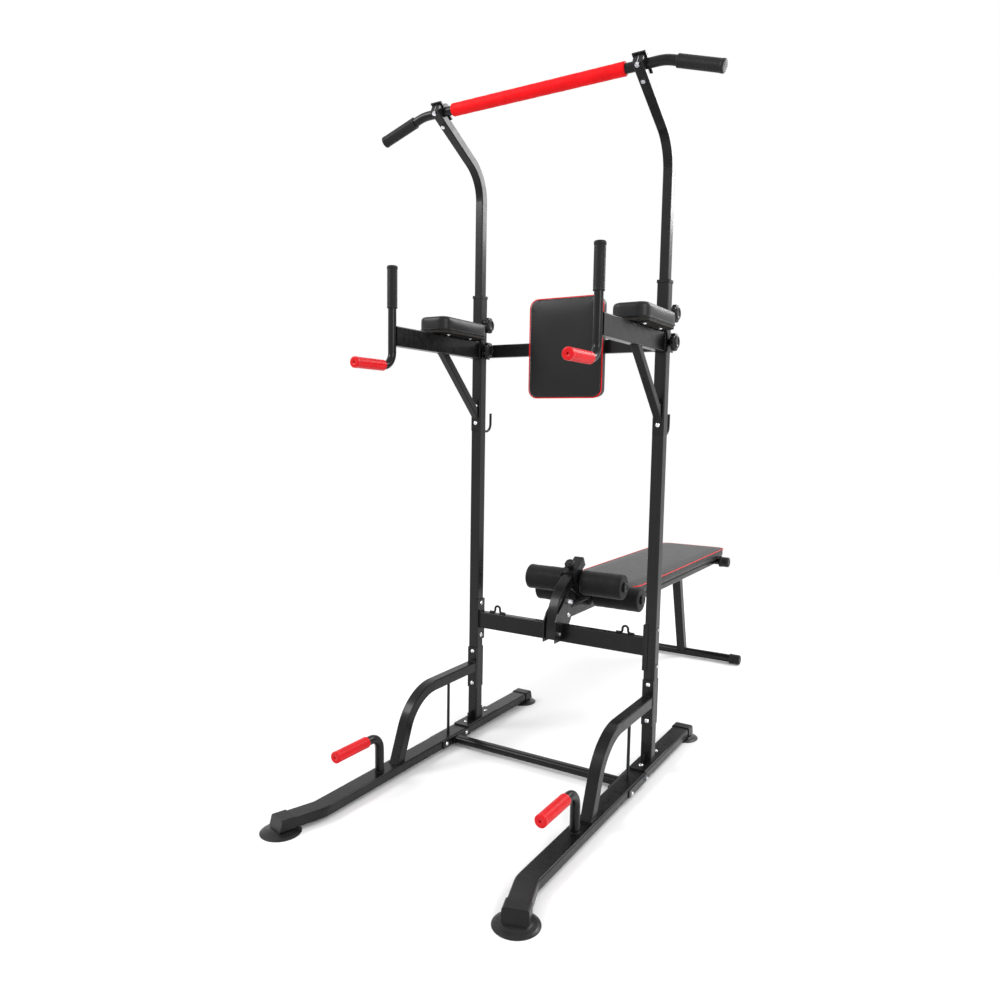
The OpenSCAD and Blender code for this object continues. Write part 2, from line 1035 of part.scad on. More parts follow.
// bent post that carries the leg hold
module leg_post() {
  end_y = lp_y - lp_r * cos(lp_turn);
  end_z = lp_z + lp_r * sin(lp_turn);
  color("#1b1b1d")
    difference() {
      side() {
        run([lp_y - lp_r, lp_low], 90, lp_z - lp_low, post_w, post_w, 4);
        bend([lp_y, lp_z], lp_r, 180 - lp_turn, 180, post_w, post_w, 4);
        run([end_y, end_z], 90 - lp_turn, lp_len, post_w, post_w, 4);
      }
      side()
        translate([-43, 430, 0])
          cylinder(h = 100, r = hole_r, center = true);
    }
}

// hooked side plates that join post, crossbar and bench
module bench_bracket() {
  color("#1b1b1d")
    difference() {
      union() {
        for (s = [-1, 1]) {
          side(s > 0 ? side_x : -side_x - plate)
            linear_extrude(height = plate)
              polygon([[-70, 402], [-22, 402], [-15.3, 412], [-15.3, 455.8], [15.3, 455.8], [17, 449],
                [36, 449], [50, 466], [48, 500], [30, 545], [8, 552], [-16, 528], [-52, 500], [-69, 476]]);
          side(s > 0 ? half : -side_x)
            translate([-55, 404, 0])
              linear_extrude(height = side_x - half)
                square([24, 50]);
        }
      }
      side()
        translate([-43, 430, 0])
          cylinder(h = 100, r = hole_r, center = true);
      side()
        translate([pivot_y, pivot_z, 0])
          cylinder(h = 100, r = pin_r, center = true);
      side()
        translate([lock_y, lock_z, 0])
          cylinder(h = 100, r = pin_r + shaft_gap, center = true);
    }
}

// bolt the bench turns on
module pivot_bolt() {
  x = side_x + plate;
  color("silver")
    side()
      translate([pivot_y, pivot_z, -x]) {
        cylinder(h = 2 * x, r = pin_r);
        translate([0, 0, -6])
          cylinder(h = 6, r = 9, $fn = 6);
        translate([0, 0, 2 * x])
          intersection() {
            translate([0, 0, -6])
              sphere(r = 11);
            cylinder(h = 6, r = 9.2);
          }
      }
}

// removable pin that locks the bench
module lock_pin() {
  x = side_x + plate;
  color("silver")
    side()
      translate([lock_y, lock_z, -x - 8]) {
        cylinder(h = 2 * x + 8.5, r = pin_r);
        translate([0, 0, 2 * x + 8 + slide_gap])
          cylinder(h = 8, r = 9);
        translate([0, 0, 2 * x + 16])
          cylinder(h = 10, r1 = 9, r2 = 7);
      }
}

// drawing plane of the carriage: local x along the post, local y off its front
module along_post() {
  side()
    translate([lp_y - lp_r * cos(lp_turn), lp_z + lp_r * sin(lp_turn), 0])
      rotate([0, 0, 90 - lp_turn])
        children();
}

// sliding sleeve with two side arms and stub axles
module roller_carriage() {
  color("#1b1b1d") {
    along_post()
      difference() {
        translate([car_from, 0, 0])
          rotate([0, 90, 0])
            linear_extrude(height = car_to - car_from)
              difference() {
                rsq(2 * car_out, 2 * car_out, 4);
                rsq(2 * car_in, 2 * car_in, 3);
              }
        translate([knob_s, car_in - 2, 0])
          rotate([-90, 0, 0])
            cylinder(h = 10, r = shaft_r + shaft_gap);
      }
    for (s = [-1, 1]) {
      side(s > 0 ? arm_in : -arm_in - arm_t)
        linear_extrude(height = arm_t)
          difference() {
            carriage_arm();
            for (a = [top_axle, low_axle])
              translate(a)
                circle(r = 2);
          }
      for (e = [0, 1])
        side(s > 0 ? arm_in + arm_t - 0.5 : -arm_in - arm_t + 0.5)
          translate(e == 0 ? top_axle : low_axle)
            rotate([0, s > 0 ? 0 : 180, 0])
              carriage_axle((e == 0 ? roller_top_half : roller_low_half) - arm_in - arm_t);
    }
  }
}

module carriage_axle(len) {
  cylinder(h = len - 0.1, r = axle_r);
  cylinder(h = hub_t, r = 13);
}

// outline of one side arm in the side plane
module carriage_arm() {
  polygon([[58, 620], [116, 654], [150, 596], [258, 534], [268, 518], [262, 502], [242, 499],
    [118, 564], [96, 588], [78, 578]]);
}

// clamping knob that locks the carriage on the post
module carriage_knob() {
  color("#101012")
    along_post()
      translate([knob_s, car_out, 0])
        rotate([-90, 0, 0]) {
          translate([0, 0, slide_gap])
            cylinder(h = 13, r = 9);
          translate([0, 0, half - car_out + shaft_gap])
            cylinder(h = car_out - half + 3, r = shaft_r);
          translate([0, 0, 13])
            difference() {
              cylinder(h = 13, r = 19, $fn = 48);
              for (i = [0 : 5])
                rotate([0, 0, i * 60])
                  translate([24, 0, -1])
                    cylinder(h = 15, r = 7);
            }
          translate([0, 0, 26])
            cylinder(h = 4, r1 = 15, r2 = 12);
        }
}

// foam roller on its axle, for side s
module roller(a, s, out) {
  color("#19191a")
    side()
      translate(a)
        translate([0, 0, s > 0 ? roller_in : -out + plug_t])
          difference() {
            cylinder(h = out - plug_t - roller_in, r = roller_d / 2, $fn = 64);
            translate([0, 0, -1])
              cylinder(h = out, r = axle_r + shaft_gap);
          }
}

module roller_top_left() {
  roller(top_axle, -1, roller_top_half);
}

module roller_top_right() {
  roller(top_axle, 1, roller_top_half);
}

module roller_low_left() {
  roller(low_axle, -1, roller_low_half);
}

module roller_low_right() {
  roller(low_axle, 1, roller_low_half);
}

// caps on the axle ends that keep the rollers on
module roller_axle_nuts() {
  color("#101012")
    for (s = [-1, 1], e = [0, 1]) {
      out = e == 0 ? roller_top_half : roller_low_half;
      side(s > 0 ? out - plug_t + slide_gap : -out + plug_t - slide_gap)
        translate(e == 0 ? top_axle : low_axle)
          rotate([0, s > 0 ? 0 : 180, 0])
            difference() {
              cylinder(h = 9, r = 17);
              translate([0, 0, -1])
                cylinder(h = 4.2, r = axle_r);
            }
    }
}

// welded bench frame: centre rail, perimeter tubes, end tube, leg clevis
module bench_frame() {
  cz = bench_z - 0.5 - side_tube / 2;
  color("#1b1b1d")
    difference() {
      union() {
        translate([0, 12, bench_z - 0.5 - bench_rail / 2])
          rotate([-90, 0, 0])
            linear_extrude(height = end_y - 12)
              rsq(bench_rail, bench_rail, 4);
        for (s = [-1, 1]) {
          translate([s * side_cx, cross_y[0] - 15, cz])
            rotate([-90, 0, 0])
              linear_extrude(height = end_y - cross_y[0] + 15)
                rsq(side_tube, side_tube, 3);
          side(s > 0 ? bench_rail / 2 - 0.2 : -bench_rail / 2 - plate + 0.2)
            linear_extrude(height = plate)
              polygon([[leg_y - 40, cz], [leg_y + 40, cz], [leg_y + 18, leg_z - 16], [leg_y - 18, leg_z - 16]]);
        }
        for (y = cross_y)
          translate([-side_cx, y, cz])
            rotate([90, 0, 90])
              linear_extrude(height = 2 * side_cx)
                rsq(side_tube, side_tube, 3);
        translate([-end_tube, end_y, cz])
          rotate([0, 90, 0])
            cylinder(h = 2 * end_tube, r = end_r);
      }
      side()
        translate([pivot_y, pivot_z, 0])
          cylinder(h = 100, r = pin_r + shaft_gap, center = true);
      side()
        translate([leg_y, leg_z, 0])
          cylinder(h = 100, r = pin_r, center = true);
    }
}

// outline of the bench, near end and far end corners differ
module bench_outline(e) {
  w = bench_w / 2 - e;
  near = bench_y + e;
  far = bench_y + bench_len - e;
  translate([-w + bench_r_near, near])
    square([2 * (w - bench_r_near), far - near]);
  translate([-w, near + bench_r_near])
    square([2 * w, far - near - bench_r_near - bench_r_far]);
  translate([-w + bench_r_far, near + bench_r_near])
    square([2 * (w - bench_r_far), far - near - bench_r_near]);
  for (s = [-1, 1]) {
    translate([s * (w - bench_r_near), near + bench_r_near])
      circle(r = bench_r_near, $fn = 48);
    translate([s * (w - bench_r_far), far - bench_r_far])
      circle(r = bench_r_far);
  }
}

module bench_board() {
  color("#161617")
    translate([0, 0, bench_z])
      linear_extrude(height = board_t)
        bench_outline(4);
}

module bench_pad() {
  color("#222224")
    translate([0, 0, bench_z + board_t])
      linear_extrude(height = bench_pad_t)
        bench_outline(0);
}

// rubber caps on the tube across the far end
module bench_end_caps() {
  cz = bench_z - 0.5 - side_tube / 2;
  color("#141415")
    for (s = [-1, 1])
      translate([s * end_in, end_y, cz])
        rotate([0, s * 90, 0])
          difference() {
            union() {
              cylinder(h = end_out - end_in, r = end_cap_r);
              cylinder(h = 12, r = end_cap_r + 1.5);
            }
            translate([0, 0, -1])
              cylinder(h = 41, r = end_r);
          }
}

// folding rear leg with its foot bar
module rear_leg() {
  dy = foot_y - leg_y;
  dz = leg_z - foot_z;
  len = sqrt(dy * dy + dz * dz);
  color("#1b1b1d")
    difference() {
      union() {
        side()
          run([leg_y, leg_z], -atan2(dz, dy), len - 8, bench_rail, leg_w, 4);
        side()
          translate([leg_y, leg_z, 0])
            cylinder(h = leg_w - 8, r = bench_rail / 2 - 1, center = true);
        translate([-foot_half + 4, foot_y, foot_z])
          rotate([0, 90, 0])
            cylinder(h = 2 * foot_half - 8, r = foot_r);
      }
      side()
        translate([leg_y, leg_z, 0])
          cylinder(h = 100, r = pin_r + shaft_gap, center = true);
    }
}

// bolt the rear leg folds on
module leg_pin() {
  x = bench_rail / 2 - 0.2 + plate;
  color("silver")
    side()
      translate([leg_y, leg_z, -x]) {
        cylinder(h = 2 * x, r = pin_r);
        translate([0, 0, -6])
          cylinder(h = 6, r = 9, $fn = 6);
        translate([0, 0, 2 * x])
          cylinder(h = 5, r = 9);
      }
}

module foot_caps() {
  color("#141415")
    for (s = [-1, 1])
      translate([s * (foot_half - foot_cap), foot_y, foot_z])
        rotate([0, s * 90, 0])
          difference() {
            cylinder(h = foot_cap, r = foot_z);
            translate([0, 0, -1])
              cylinder(h = foot_cap - 3, r = foot_r);
          }
}

base_rail_left();
base_rail_right();
rail_caps();
suction_cups();
floor_crossbar();
upright_left();
upright_right();
post_feet();
post_collars();
mid_crossbar();
rope_loops();
brace_left();
brace_right();
tie_rods();
backing_plates();
push_up_grips();
arm_left();
arm_right();
arm_struts();
dip_grips();
hand_grips();
elbow_boards();
elbow_pad_left();
elbow_pad_right();
upper_crossbar();
back_board();
back_pad();
bar_tube_left();
bar_tube_right();
pull_up_bar();
bar_foam();
bar_grips();
bar_clamps();
clamp_bolts();
knob_low_left();
knob_low_right();
knob_high_left();
knob_high_right();
leg_post();
bench_bracket();
pivot_bolt();
lock_pin();
roller_carriage();
carriage_knob();
roller_top_left();
roller_top_right();
roller_low_left();
roller_low_right();
roller_axle_nuts();
bench_frame();
bench_board();
bench_pad();
bench_end_caps();
rear_leg();
leg_pin();
foot_caps();
frame_bolts();
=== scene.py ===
"""Power tower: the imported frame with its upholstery, foam, rubber, plastic and finishes."""
import json
import math
import bmesh
import bpy
from mathutils import Matrix, Quaternion, Vector, noise


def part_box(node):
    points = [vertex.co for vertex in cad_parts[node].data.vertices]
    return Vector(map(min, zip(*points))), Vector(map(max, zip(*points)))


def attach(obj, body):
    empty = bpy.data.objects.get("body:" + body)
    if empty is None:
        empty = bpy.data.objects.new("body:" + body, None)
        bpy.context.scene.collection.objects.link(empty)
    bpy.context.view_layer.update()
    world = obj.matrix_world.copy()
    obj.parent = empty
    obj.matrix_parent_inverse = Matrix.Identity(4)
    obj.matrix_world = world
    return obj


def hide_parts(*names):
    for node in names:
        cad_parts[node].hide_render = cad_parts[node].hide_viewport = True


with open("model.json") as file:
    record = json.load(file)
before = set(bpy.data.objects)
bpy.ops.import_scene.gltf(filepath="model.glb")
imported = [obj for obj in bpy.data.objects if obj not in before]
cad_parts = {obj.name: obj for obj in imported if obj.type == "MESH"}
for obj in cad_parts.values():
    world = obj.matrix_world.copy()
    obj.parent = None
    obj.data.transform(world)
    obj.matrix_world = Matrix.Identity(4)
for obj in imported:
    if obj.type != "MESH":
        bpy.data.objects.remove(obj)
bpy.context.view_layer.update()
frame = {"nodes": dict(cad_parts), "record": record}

MM = 0.001
NODES = frame["nodes"]


# ---------------------------------------------------------------- camera

AZIMUTH, PITCH, ROLL = math.radians(31.425), math.radians(5.888), math.radians(0.895)


def make_camera():
    data = bpy.data.cameras.new("camera")
    data.sensor_width = 36
    data.lens = 28.158
    data.shift_x = 0.0036
    data.shift_y = 0.0088
    data.clip_start = 0.05
    data.clip_end = 60
    cam = bpy.data.objects.new("camera", data)
    bpy.context.collection.objects.link(cam)
    right = Vector((math.cos(AZIMUTH), math.sin(AZIMUTH), 0))
    ahead = Vector((-math.sin(AZIMUTH), math.cos(AZIMUTH), 0))
    ahead = ahead * math.cos(PITCH) - Vector((0, 0, math.sin(PITCH)))
    up = right.cross(ahead)
    right, up = (
        right * math.cos(ROLL) + up * math.sin(ROLL),
        up * math.cos(ROLL) - right * math.sin(ROLL),
    )
    cam.matrix_world = Matrix.Translation((1.2068, -2.4026, 1.1304)) @ Matrix(
        (right, up, -ahead)
    ).transposed().to_4x4()
    bpy.context.scene.camera = cam


# ---------------------------------------------------------------- materials


class Nodes:
    """Short names for building a node tree around one Principled shader."""

    def __init__(self, name, color, rough, metal=0.0, **sockets):
        self.mat = bpy.data.materials.new(name)
        self.mat.use_nodes = True
        self.tree = self.mat.node_tree
        self.shader = self.tree.nodes["Principled BSDF"]
        self.shader.inputs["Base Color"].default_value = (*color, 1)
        self.shader.inputs["Roughness"].default_value = rough
        self.shader.inputs["Metallic"].default_value = metal
        for key, value in sockets.items():
            self.shader.inputs[key.replace("_", " ")].default_value = value
        self.coords = self.add("ShaderNodeTexCoord").outputs["Object"]
        self.normal = None

    def add(self, kind, **values):
        node = self.tree.nodes.new(kind)
        for key, value in values.items():
            setattr(node, key, value)
        return node

    def link(self, a, b):
        self.tree.links.new(a, b)

    def noise(self, scale, detail=4, rough=0.55, stretch=(1, 1, 1)):
        spread = self.add("ShaderNodeMapping")
        spread.inputs["Scale"].default_value = stretch
        self.link(self.coords, spread.inputs["Vector"])
        node = self.add("ShaderNodeTexNoise")
        node.inputs["Scale"].default_value = scale
        node.inputs["Detail"].default_value = detail
        node.inputs["Roughness"].default_value = rough
        self.link(spread.outputs["Vector"], node.inputs["Vector"])
        return node.outputs["Fac"]

    def cells(self, scale, feature="F1", stretch=(1, 1, 1)):
        spread = self.add("ShaderNodeMapping")
        spread.inputs["Scale"].default_value = stretch
        self.link(self.coords, spread.inputs["Vector"])
        node = self.add("ShaderNodeTexVoronoi", feature=feature)
        node.inputs["Scale"].default_value = scale
        self.link(spread.outputs["Vector"], node.inputs["Vector"])
        return node.outputs["Distance"]

    def ramp(self, fac, *stops):
        node = self.add("ShaderNodeValToRGB")
        elements = node.color_ramp.elements
        for i, (at, color) in enumerate(stops):
            item = elements[i] if i < 2 else elements.new(at)
            item.position = at
            item.color = (*color, 1) if len(color) == 3 else color
        self.link(fac, node.inputs["Fac"])
        return node.outputs["Color"]

    def span(self, fac, low, high, a=0.0, b=1.0):
        node = self.add("ShaderNodeMapRange")
        for key, value in (("From Min", a), ("From Max", b), ("To Min", low), ("To Max", high)):
            node.inputs[key].default_value = value
        self.link(fac, node.inputs["Value"])
        return node.outputs["Result"]

    def tint(self, fac, *stops):
        self.link(self.ramp(fac, *stops), self.shader.inputs["Base Color"])

    def shine(self, fac, low, high, a=0.3, b=0.7):
        self.link(self.span(fac, low, high, a, b), self.shader.inputs["Roughness"])

    def bump(self, height, depth, strength=1.0):
        node = self.add("ShaderNodeBump")
        node.inputs["Strength"].default_value = strength
        node.inputs["Distance"].default_value = depth
        self.link(height, node.inputs["Height"])
        if self.normal is not None:
            self.link(self.normal, node.inputs["Normal"])
        self.normal = node.outputs["Normal"]
        self.link(self.normal, self.shader.inputs["Normal"])

    def worn(self, amount, color):
        """Lightens the corners, where paint thins and dust settles."""
        edge = self.add("ShaderNodeNewGeometry").outputs["Pointiness"]
        wear = self.span(edge, 0.0, amount, 0.52, 0.62)
        mix = self.add("ShaderNodeMix", data_type="RGBA")
        source = self.shader.inputs["Base Color"].links[0].from_socket
        self.link(wear, mix.inputs["Factor"])
        self.link(source, mix.inputs["A"])
        mix.inputs["B"].default_value = (*color, 1)
        self.link(mix.outputs["Result"], self.shader.inputs["Base Color"])


def powder_coat():
    n = Nodes("powder_coat", (0.0035, 0.0035, 0.0038), 0.3, Specular_IOR_Level=0.16,
              Coat_Weight=0.13, Coat_Roughness=0.12)
    n.tint(n.noise(9, 3), (0.3, (0.0025, 0.0025, 0.0028)), (0.7, (0.0048, 0.0048, 0.0051)))
    n.shine(n.noise(40, 5), 0.24, 0.36)
    n.bump(n.noise(900, 2), 0.00006, 0.55)
    n.bump(n.noise(220, 2), 0.00009, 0.35)
    n.worn(0.2, (0.03, 0.03, 0.031))
    return n.mat


def zinc():
    n = Nodes("zinc_plate", (0.72, 0.73, 0.76), 0.24, 1.0)
    n.tint(n.noise(120, 4), (0.3, (0.62, 0.63, 0.66)), (0.7, (0.84, 0.85, 0.87)))
    n.shine(n.noise(260, 4), 0.16, 0.34)
    n.bump(n.noise(700, 3), 0.00004, 0.5)
    return n.mat


def foam(name, dark, light, sheen):
    """Closed cell foam with a fine pore texture and slight unevenness."""
    n = Nodes(name, dark, 0.62, Sheen_Weight=sheen, Sheen_Roughness=0.5, Specular_IOR_Level=0.14)
    n.tint(n.noise(14, 4), (0.25, dark), (0.75, light))
    n.shine(n.noise(60, 4), 0.5, 0.66)
    n.bump(n.cells(1400), 0.00016, 0.5)
    n.bump(n.noise(45, 3), 0.0006, 0.4)
    return n.mat


def rubber(name, dark, light, low, high, sheen=0.1):
    n = Nodes(name, dark, 0.5, Sheen_Weight=sheen, Sheen_Roughness=0.45, Specular_IOR_Level=0.24)
    n.tint(n.noise(30, 4), (0.3, dark), (0.7, light))
    n.shine(n.noise(80, 4), low, high)
    n.bump(n.noise(1500, 2), 0.00008, 0.6)
    return n.mat


def plastic():
    n = Nodes("black_plastic", (0.0045, 0.0045, 0.0048), 0.35, Specular_IOR_Level=0.24)
    n.tint(n.noise(25, 3), (0.3, (0.0035, 0.0035, 0.0038)), (0.7, (0.0065, 0.0065, 0.0068)))
    n.shine(n.noise(90, 4), 0.28, 0.42)
    n.bump(n.cells(1600), 0.00005, 0.6)
    return n.mat


def vinyl():
    """Fine grained upholstery vinyl."""
    n = Nodes("black_vinyl", (0.006, 0.006, 0.0063), 0.38, Coat_Weight=0.08, Coat_Roughness=0.3,
              Specular_IOR_Level=0.22)
    n.tint(n.noise(6, 5), (0.3, (0.0055, 0.0055, 0.0058)), (0.7, (0.0072, 0.0072, 0.0075)))
    n.shine(n.noise(35, 5), 0.37, 0.42)
    n.bump(n.cells(420, "DISTANCE_TO_EDGE"), 0.00022, 0.55)
    n.bump(n.noise(900, 3), 0.00008, 0.5)
    n.bump(n.noise(12, 3), 0.0006, 0.12)
    return n.mat


def board():
    """Stained plywood under the pads."""
    n = Nodes("stained_board", (0.01, 0.009, 0.008), 0.6, Specular_IOR_Level=0.2)
    grain = n.noise(30, 6, 0.6, (1, 0.12, 4))
    n.tint(grain, (0.3, (0.007, 0.0065, 0.006)), (0.7, (0.017, 0.0145, 0.012)))
    n.shine(n.noise(60, 4), 0.5, 0.7)
    n.bump(grain, 0.0003, 0.5)
    return n.mat


def thread():
    n = Nodes("thread", (0.05, 0.05, 0.055), 0.6, Sheen_Weight=0.4)
    n.tint(n.noise(400, 2), (0.3, (0.04, 0.04, 0.045)), (0.7, (0.08, 0.08, 0.085)))
    n.bump(n.noise(3000, 2), 0.0001, 0.6)
    return n.mat


def floor_paper():
    """Pale paper that fades out into the white surroundings, so no horizon shows."""
    n = Nodes("paper", (0.86, 0.86, 0.86), 0.7)
    n.tint(n.noise(1.5, 3), (0.3, (0.85, 0.85, 0.85)), (0.7, (0.88, 0.88, 0.88)))
    n.bump(n.noise(300, 3), 0.0001, 0.2)
    away = n.add("ShaderNodeVectorMath", operation="LENGTH")
    n.link(n.coords, away.inputs[0])
    blend = n.add("ShaderNodeMixShader")
    n.link(n.span(away.outputs["Value"], 0, 1, 2.0, 4.5), blend.inputs["Fac"])
    n.link(n.shader.outputs["BSDF"], blend.inputs[1])
    n.link(n.add("ShaderNodeBsdfTransparent").outputs["BSDF"], blend.inputs[2])
    n.link(blend.outputs["Shader"], n.tree.nodes["Material Output"].inputs["Surface"])
    return n.mat


STEEL = powder_coat()
ZINC = zinc()
RED_FOAM = foam("red_foam", (0.60, 0.0, 0.002), (0.76, 0.001, 0.005), 0.02)
BLACK_FOAM = foam("black_foam", (0.0045, 0.0045, 0.0045), (0.0085, 0.0085, 0.0085), 0.06)
RED_RUBBER = rubber("red_rubber", (0.50, 0.0, 0.003), (0.62, 0.001, 0.007), 0.28, 0.42, 0.0)
BLACK_RUBBER = rubber("black_rubber", (0.0042, 0.0042, 0.0042), (0.0075, 0.0075, 0.0075), 0.38, 0.55, 0.03)
CUP_RUBBER = rubber("suction_rubber", (0.007, 0.007, 0.0075), (0.013, 0.013, 0.0135), 0.24, 0.4, 0.05)
PLASTIC = plastic()
VINYL = vinyl()
PIPING = rubber("red_piping", (0.52, 0.0, 0.004), (0.64, 0.002, 0.008), 0.3, 0.42, 0.0)
BOARD = board()
THREAD = thread()

SLOT_MATERIALS = {
    "black_steel": STEEL,
    "zinc_bolts": ZINC,
    "red_foam": RED_FOAM,
    "black_foam": BLACK_FOAM,
    "red_rubber": RED_RUBBER,
    "black_rubber": BLACK_RUBBER,
    "black_plastic": PLASTIC,
    "suction_rubber": CUP_RUBBER,
    "black_vinyl": VINYL,
    "board_wood": BOARD,
}


SOFTENED = {
    "rail_caps": 2.4, "bar_clamps": 1.6, "post_feet": 0.8, "mid_crossbar": 0.8, "backing_plates": 0.8,
    "floor_crossbar": 0.8, "bench_bracket": 0.9, "arm_struts": 0.8, "post_collars": 1.0, "lock_pin": 0.8,
}


def finish_cad_nodes():
    """Every carried-over CAD node gets its procedural finish; plates and caps get softened edges."""
    for part in frame["record"]["subparts"]:
        obj = NODES[part["node"]]
        obj.data.materials.clear()
        obj.data.materials.append(SLOT_MATERIALS[part["material_slot"]])
        if part["node"] in SOFTENED:
            bevel = obj.modifiers.new("softened", "BEVEL")
            bevel.width = SOFTENED[part["node"]] * MM
            bevel.segments = 3
            bevel.limit_method = "ANGLE"
            bevel.angle_limit = math.radians(50)
            bevel.harden_normals = True


# ---------------------------------------------------------------- mesh helpers


def make(name, verts, faces, material, body, smooth=True):
    """A finished mesh piece riding on a body."""
    mesh = bpy.data.meshes.new(name)
    mesh.from_pydata([tuple(v) for v in verts], [], faces)
    mesh.validate()
    mesh.polygons.foreach_set("use_smooth", [smooth] * len(mesh.polygons))
    obj = bpy.data.objects.new(name, mesh)
    bpy.context.collection.objects.link(obj)
    mesh.materials.append(material)
    bm = bmesh.new()
    bm.from_mesh(mesh)
    bmesh.ops.recalc_face_normals(bm, faces=bm.faces)
    bm.to_mesh(mesh)
    bm.free()
    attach(obj, body)
    return obj


def frame_of(axis):
    """Two unit vectors square to an axis."""
    axis = Vector(axis).normalized()
    side = axis.cross(Vector((0, 0, 1)) if abs(axis.z) < 0.9 else Vector((0, 1, 0))).normalized()
    return side, axis.cross(side)


def turned(profile, origin, axis, count=48, shape=None):
    """Vertices and faces of a profile of (radius, height) points in mm, turned about an axis.
    shape(angle, radius, height) may change a radius. A radius of 0 closes an end."""
    axis = Vector(axis).normalized()
    u, v = frame_of(axis)
    origin = Vector(origin)
    verts, rows = [], []
    for r, h in profile:
        if r <= 1e-6:
            rows.append([len(verts)])
            verts.append(origin + axis * h * MM)
            continue
        row = []
        for i in range(count):
            a = 2 * math.pi * i / count
            rr = shape(a, r, h) if shape else r
            row.append(len(verts))
            verts.append(origin + axis * h * MM + (u * math.cos(a) + v * math.sin(a)) * rr * MM)
        rows.append(row)
    faces = []
    for a, b in zip(rows, rows[1:]):
        for i in range(count):
            j = (i + 1) % count
            quad = [a[i % len(a)], a[j % len(a)], b[j % len(b)], b[i % len(b)]]
            quad = list(dict.fromkeys(quad))
            if len(quad) > 2:
                faces.append(quad)
    return verts, faces


def joined(parts):
    """Several (verts, faces) as one."""
    verts, faces = [], []
    for vs, fs in parts:
        base = len(verts)
        verts += vs
        faces += [[i + base for i in f] for f in fs]
    return verts, faces


def tube(path, radius, closed=False, count=12, ripple=None):
    """Vertices and faces of a tube along points. ripple(distance) scales the radius."""
    path = [Vector(p) for p in path]
    n = len(path)
    verts, faces, rows = [], [], []
    last = None
    along = 0.0
    for i, p in enumerate(path):
        before = path[i - 1] if i or closed else p
        after = path[(i + 1) % n] if i < n - 1 or closed else p
        tangent = (after - before).normalized()
        if last is None:
            u, _ = frame_of(tangent)
        else:
            u = (last - tangent * last.dot(tangent)).normalized()
        v = tangent.cross(u)
        last = u
        if i:
            along += (p - path[i - 1]).length
        r = radius * (ripple(along) if ripple else 1)
        row = []
        for k in range(count):
            a = 2 * math.pi * k / count
            row.append(len(verts))
            verts.append(p + (u * math.cos(a) + v * math.sin(a)) * r)
        rows.append(row)
    pairs = list(zip(rows, rows[1:])) + ([(rows[-1], rows[0])] if closed else [])
    for a, b in pairs:
        shift = 0
        if closed and a is rows[-1]:
            gaps = [(verts[a[0]] - verts[b[k]]).length for k in range(count)]
            shift = gaps.index(min(gaps))
        for k in range(count):
            m = (k + 1) % count
            faces.append([a[k], a[m], b[(m + shift) % count], b[(k + shift) % count]])
    if not closed:
        faces.append(rows[0][::-1])
        faces.append(rows[-1])
    return verts, faces


def resample(path, step, closed=True):
    """Points along a polyline at an even spacing."""
    pts = [Vector(p) for p in path] + ([Vector(path[0])] if closed else [])
    lengths = [(b - a).length for a, b in zip(pts, pts[1:])]
    total = sum(lengths)
    count = max(3, round(total / step))
    out = []
    for k in range(count + (0 if closed else 1)):
        d = total * k / count
        i = 0
        while i < len(lengths) - 1 and d > lengths[i]:
            d -= lengths[i]
            i += 1
        out.append(pts[i].lerp(pts[i + 1], min(1, d / max(lengths[i], 1e-9))))
    return out


def rounded_outline(x0, x1, y0, y1, radii, step=6):
    """Outline in mm, anticlockwise, with a radius for each corner (x0y0, x1y0, x1y1, x0y1)."""
    corners = ((x0, y0, 180), (x1, y0, 270), (x1, y1, 0), (x0, y1, 90))
    pts = []
    for (x, y, start), r in zip(corners, radii):
        cx = x + r if x == x0 else x - r
        cy = y + r if y == y0 else y - r
        turns = max(4, round(r * math.pi / 2 / step))
        for k in range(turns + 1):
            a = math.radians(start + 90 * k / turns)
            pts.append(Vector((cx + r * math.cos(a), cy + r * math.sin(a), 0)))
    return resample(pts, step)


# ---------------------------------------------------------------- upholstery


def inset(outline, d):
    """Outline moved inwards by d."""
    n = len(outline)
    out = []
    for i, p in enumerate(outline):
        t = (outline[(i + 1) % n] - outline[i - 1]).normalized()
        out.append(p + Vector((-t.y, t.x, 0)) * d)
    return out


def cushion_mesh(name, outline, height, edge):
    """A closed pad in mm with an eased top edge; its underside is at 0."""
    rings = [(1.0, 0.0), (0.3, 3.0)]
    rings += [(0.3, height * f) for f in (0.3, 0.55, 0.8)]
    for k in range(0, 5):
        a = math.radians(90 * k / 4)
        rings.append((0.3 + edge * (1 - math.cos(a)), height - edge + edge * math.sin(a)))
    rings[4] = (0.3, height - edge - 1)
    bm = bmesh.new()
    rows = []
    for d, z in rings:
        rows.append([bm.verts.new((p.x * MM, p.y * MM, z * MM)) for p in inset(outline, d)])
    n = len(outline)
    for a, b in zip(rows, rows[1:]):
        for i in range(n):
            bm.faces.new((a[i], a[(i + 1) % n], b[(i + 1) % n], b[i]))
    bm.faces.new(rows[0][::-1])
    bm.faces.new(rows[-1])
    bmesh.ops.recalc_face_normals(bm, faces=bm.faces)
    mesh = bpy.data.meshes.new(name)
    bm.to_mesh(mesh)
    bm.free()
    return mesh


def activate(obj):
    bpy.ops.object.select_all(action="DESELECT")
    obj.select_set(True)
    bpy.context.view_layer.objects.active = obj


